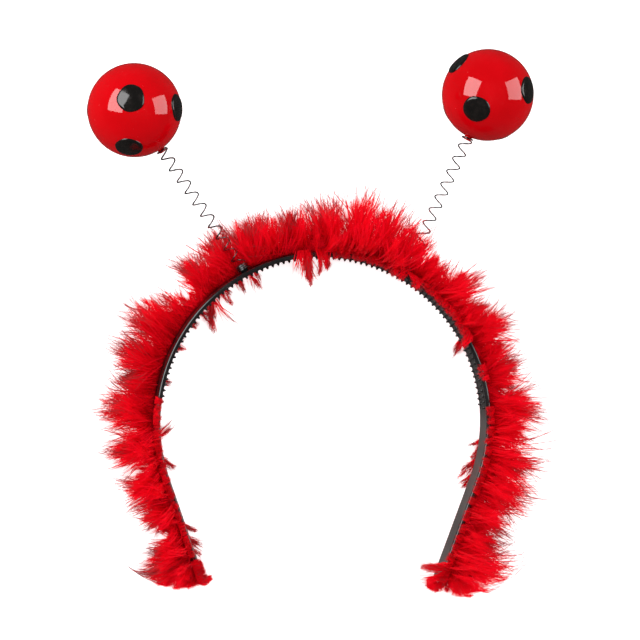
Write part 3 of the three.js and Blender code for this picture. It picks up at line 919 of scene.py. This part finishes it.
# Barbs: each leaves its plume's shaft at a share of the shaft's length, at an angle that closes towards the
# tip, and its path adds up the directions of a few equal segments. Rise falls and lean turns evenly along
# the shaft, for the shaft and the barbs alike
def growBarbs(plumes, barbules, rng):
    pick = np.repeat(np.arange(len(plumes["station"])), plumes["barbs"].astype(int))
    own = {key: value[pick] for key, value in plumes.items()}
    count, segments = len(pick), barb["segments"]
    start = own["shaft"] * rng.uniform(0, 1, count) ** barb["startPower"]
    spread = rng.uniform(barb["leastSpread"], 1, count)
    splay = rng.choice([-1, 1], count) * spread * own["splay"]
    lift = rng.normal(0, 1, count) * own["lift"]
    length = own["length"] * (1 - start) * rng.uniform(own["shortest"], barb["longest"])
    length *= 1 - own["point"] * spread
    foot, out, clockwise = bandPlace(own["station"])
    root = foot + out * (band["thickness"] + own["out"])[:, None] + up * own["up"][:, None]

    def direction(share, sideways, upwards):
        rise = np.radians(own["rise"])[:, None] * (1 - own["bend"][:, None] * share) + upwards
        lean = np.radians(own["lean"])[:, None] + own["curl"][:, None] * share + sideways
        level = np.cos(lean)[..., None] * out[:, None] + np.sin(lean)[..., None] * clockwise[:, None]
        return np.cos(rise)[..., None] * level + np.sin(rise)[..., None] * up

    shares = (np.arange(barb["shaftSteps"]) + 0.5) / barb["shaftSteps"]
    shaft = direction(start[:, None] * shares, 0, 0).mean(1) * (start * own["length"])[:, None]
    middle = (np.arange(segments) + 0.5) / segments
    along = start[:, None] + (length / own["length"])[:, None] * middle
    closing = 1 - barb["closing"] * middle
    wave = rng.normal(0, barb["wave"], (count, segments))
    ways = direction(along, splay[:, None] * closing + wave, lift[:, None] * closing + wave[:, ::-1])
    steps = np.concatenate([np.zeros((count, 1, 3)), np.cumsum(ways, 1)], 1)
    path = clearOfSprings((root + shaft)[:, None] + steps * (length / segments)[:, None, None])
    path[..., 1] = eased(path[..., 1], lowerEnd(path[..., 0]), np.inf, barb["tipSoftness"])
    path[..., 2] = eased(path[..., 2], own["floor"][:, None], own["ceiling"][:, None])
    made = {key: own[key] for key in ("station", "width", "dark")}
    made["path"] = path
    made["shade"] = np.clip(own["shade"] + rng.normal(0, barb["shadeStray"], count), 0.02, 0.98)
    made["barbules"] = np.full(count, barbules)
    return made


# Barbs near a spring's axis are parted to a set distance from it
def clearOfSprings(path):
    for side in antenna["lean"]:
        base, axis = antennaLine(side)
        offset = path - base
        height = offset @ axis
        across = offset - height[..., None] * axis
        apart = np.linalg.norm(across, axis=-1)
        beside = (height > 0) * (height < antenna["length"][side] / 2)
        wanted = np.maximum(apart, trim["springRoom"] * beside)
        path = path + across * (wanted / np.maximum(apart, 1e-6) - 1)[..., None]
    return path


# How far down the barbs reach round the tips of the band: a parabola under each tip
def lowerEnd(x):
    left, right = trim["tipEnds"]
    middle = np.where(x < 0, left[0], right[0])
    low = np.where(x < 0, left[1], right[1])
    return low + trim["tipRound"] * (x - middle) ** 2


# Values that bend off softly along a lower limit and stop at an upper one, so that barbs lie down there
def eased(value, low, high, soft=0.5):
    raised = low + soft * np.logaddexp(0, (value - low) / soft)
    return np.minimum(raised, high)


# Ribbons along the barbs, tapering to a point, and barbules, each one thin triangle that leaves a barb at
# an angle. The map's two numbers are the way along the barb and the shade
def plumeMesh(name, barbs, rng):
    path, shade, dark = barbs["path"], barbs["shade"], barbs["dark"]
    count, segments = len(path), barb["segments"]
    ways = np.diff(path, axis=1)
    ways /= np.maximum(np.linalg.norm(ways, axis=-1, keepdims=True), 1e-9)
    aside = np.cross(ways.mean(1), rng.normal(0, 1, (count, 3)))
    aside /= np.linalg.norm(aside, axis=1)[:, None]
    share = np.arange(segments) / segments
    edge = aside[:, None] * (barbs["width"][:, None] / 2 * (1 - barb["taper"] * share ** 2))[..., None]
    strip = np.stack([path[:, :-1] - edge, path[:, :-1] + edge], 2).reshape(count, -1, 3)
    ribbon = np.concatenate([strip, path[:, -1:]], 1)
    each = 2 * segments + 1
    first = (np.arange(count) * each)[:, None]
    pair = 2 * np.arange(segments - 1)
    quads = (first[:, None] + (pair[:, None] + np.array([0, 1, 3, 2]))[None]).reshape(-1, 4)
    tips = first + np.array([each - 3, each - 2, each - 1])
    ribbonAlong = 0.03 + 0.95 * dark[:, None] * np.append(np.repeat(share, 2), 1.0)
    ribbonShade = shade[:, None] + barb["edgeShade"] * np.append(np.tile([-1, 1], segments), 0)

    row = np.repeat(np.arange(count), barbs["barbules"])
    number = len(row)
    where = barbule["first"] + barbule["spread"] * rng.uniform(0, 1, number)
    segment = np.minimum((where * segments).astype(int), segments - 1)
    inside = (where * segments - segment)[:, None]
    foot = path[row, segment] * (1 - inside) + path[row, segment + 1] * inside
    ahead = ways[row, segment]
    square = np.cross(ahead, rng.normal(0, 1, (number, 3)))
    square /= np.maximum(np.linalg.norm(square, axis=-1, keepdims=True), 1e-9)
    angle = rng.uniform(*barbule["angle"], (number, 1))
    size = (rng.uniform(*barbule["length"], number) * (1 - barbule["taper"] * where))[:, None]
    tip = foot + size * (np.cos(angle) * ahead + np.sin(angle) * square)
    tip[:, 2] = np.maximum(tip[:, 2], barbule["floor"])
    wide = barbule["width"] / 2 * ahead
    hairs = np.stack([foot - wide, foot + wide, tip], 1).reshape(-1, 3)
    hairFaces = count * each + np.arange(number * 3).reshape(-1, 3)
    hairAlong = 0.06 + 0.8 * dark[row, None] * where[:, None] + np.array([-0.01, 0.01, 0.08])
    hairShade = shade[row, None] + barb["edgeShade"] * np.array([-1, 1, 0])

    points = np.concatenate([ribbon.reshape(-1, 3), hairs])
    piece = newPiece(name, points, quads, np.concatenate([tips, hairFaces]), redFeather, smooth=False)
    places = np.stack([
        np.concatenate([ribbonAlong.ravel(), hairAlong.ravel()]),
        np.concatenate([ribbonShade.ravel(), hairShade.ravel()]),
    ], -1)
    corners = np.concatenate([quads.ravel(), tips.ravel(), hairFaces.ravel()])
    layer = piece.data.uv_layers.new(name=plumeMap)
    layer.uv.foreach_set("vector", places[corners].astype(np.float32).ravel())
    return piece


down = {
    "share": 0.5,  # of the reach
    "gap": -0.25, "below": 8.6, "past": 0.5, "square": 0.6,
    "topRoom": 0.5,  # from its top to the highest roots
    "endRamp": 6, "endShare": 0.02,
    "lump": 0.1, "lumpLength": 1.7, "lumpsAround": 3, "lumpTwist": 4,
    "rings": 260, "around": 28,
}


# Matted down along the band: a superellipse whose thickness follows the reach and whose top follows the
# highest roots, with small lumps along and around it
def makeDownRoll():
    end = legEnd + down["past"]
    station = np.linspace(-end, end, down["rings"])
    turn = fullTurn(down["around"])
    top = coverAt(station)[1]
    ends = np.sqrt(np.clip((end - np.abs(station)) / down["endRamp"], down["endShare"], 1))
    twist = np.cos(down["lumpsAround"] * turn + station[:, None] / down["lumpTwist"])
    lump = 1 + down["lump"] * np.sin(station / down["lumpLength"])[:, None] * twist
    thick = down["share"] * reachAt(station) * ends / 2
    low, high = -down["below"] * ends, (top - down["topRoom"]) * ends
    wide = np.sign(np.cos(turn)) * np.abs(np.cos(turn)) ** down["square"]
    tall = np.sign(np.sin(turn)) * np.abs(np.sin(turn)) ** down["square"]
    across = down["gap"] + thick[:, None] * (1 + wide * np.where(wide > 0, lump, 1))
    height = band["height"] + ((high + low) / 2)[:, None] + ((high - low) / 2)[:, None] * tall
    foot, out = bandPlace(station)[:2]
    points = foot[:, None] + out[:, None] * (band["thickness"] + across)[..., None] + up * height[..., None]
    return newPiece("feather_down", *closedTubes(points[None]), redDown)


featherRandom = np.random.default_rng(trim["seed"])
allBarbs = joined([
    growBarbs(massPlumes(featherRandom), plume["barbules"], featherRandom),
    growBarbs(strandPlumes(featherRandom), lock["barbules"], featherRandom),
])
group = np.searchsorted(trim["cuts"], allBarbs["station"])
featherPieces = [makeDownRoll()]
for number, part in enumerate(trim["pieces"]):
    chosen = {key: value[group == number] for key, value in allBarbs.items()}
    featherPieces.append(plumeMesh(f"plumes_{part}", chosen, featherRandom))
for piece in featherPieces:
    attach(piece, "band")
    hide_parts("feather_trim")
    print(piece.name, len(piece.data.polygons), "faces")

studio = {
    "floorSize": 4000,
    "floorDrop": 0.1,
    "floorGlow": 0.6,
    "fill": 0.06,
    # place, point aimed at, width, height and watts of each soft box, and if gloss mirrors it
    "boxes": [
        ((-590, 310, 460), (0, 40, 10), 630, 535, 6.2, True),
        ((735, 265, 460), (0, 40, 10), 610, 628, 4.7, True),
        ((0, 40, 1400), (0, 40, 10), 1600, 1600, 18.5, False),
    ],
    "target": (-1.89, 39.75, 10),
    "tilt": 10.5,  # degrees that the camera stands left of straight above
    "roll": 0.9,
    "distance": 1000,
    "field": 250,  # width seen at the target
    "sensor": 36,
}


# Matt white card with faint clouds, which glows a little so that it stays white
def paleFloorLook(wire):
    cloud = wire.noise(3, 2)
    return wire.node("ShaderNodeBsdfPrincipled", {}, {
        "Base Color": cloud.between((0.93, 0.93, 0.93), (0.95, 0.95, 0.95)),
        "Roughness": 0.9,
        "Specular IOR Level": 0.1,
        "Emission Color": (1, 1, 1, 1),
        "Emission Strength": studio["floorGlow"],
    })


# A square just under the part
def makeFloor():
    half = studio["floorSize"] / 2
    points = np.array([[-half, -half, 0], [half, -half, 0], [half, half, 0], [-half, half, 0]])
    noTriangles = np.zeros((0, 3), int)
    material = newMaterial("paleFloor", paleFloorLook)
    floor = newPiece("floor", points, np.array([[0, 1, 2, 3]]), noTriangles, material)
    floor.data.transform(Matrix.Translation((0, 0, -studio["floorDrop"] * mm)))
    floor.visible_glossy = False  # gloss mirrors the dim room and the soft boxes, not the white sweep


# A place in the arch's frame as a vector in the part's own
def toFrame(place):
    return Vector(np.array(place, float) * mm + archCentre)


# A dim, even room and the soft boxes, each turned to the point that it is aimed at
def makeLights():
    world = bpy.data.worlds.new("studio")
    bpy.context.scene.world = world
    world.use_nodes = True
    sockets = world.node_tree.nodes["Background"].inputs
    sockets["Color"].default_value = (1, 1, 1, 1)
    sockets["Strength"].default_value = studio["fill"]
    for number, (place, aim, width, height, watts, mirrored) in enumerate(studio["boxes"]):
        light = bpy.data.lights.new(f"softBox{number + 1}", "AREA")
        light.shape = "RECTANGLE"
        light.size, light.size_y = width * mm, height * mm
        light.energy = watts
        lamp = bpy.data.objects.new(light.name, light)
        bpy.context.scene.collection.objects.link(lamp)
        lamp.visible_glossy = mirrored
        lamp.location = toFrame(place)
        lamp.rotation_euler = (toFrame(aim) - toFrame(place)).to_track_quat("-Z", "Y").to_euler()


# The camera looks down at the target from a set distance, tilted to one side and rolled a little
def makeCamera():
    data = bpy.data.cameras.new("camera")
    camera = bpy.data.objects.new("camera", data)
    bpy.context.scene.collection.objects.link(camera)
    tilt, roll = np.radians(studio["tilt"]), np.radians(studio["roll"])
    back = Vector((-np.sin(tilt), 0, np.cos(tilt)))
    level = Vector((np.cos(tilt), 0, np.sin(tilt)))
    right = np.cos(roll) * level + np.sin(roll) * back.cross(level)
    turned = Matrix((right, back.cross(right), back)).transposed().to_4x4()
    place = toFrame(studio["target"]) + back * studio["distance"] * mm
    camera.matrix_world = Matrix.Translation(place) @ turned
    data.sensor_width = studio["sensor"]
    data.lens = studio["sensor"] * studio["distance"] / studio["field"]
    data.clip_start = 0.01
    bpy.context.scene.camera = camera


makeFloor()
makeLights()
makeCamera()
bpy.context.scene.view_settings.view_transform = "Standard"
print("studio made")
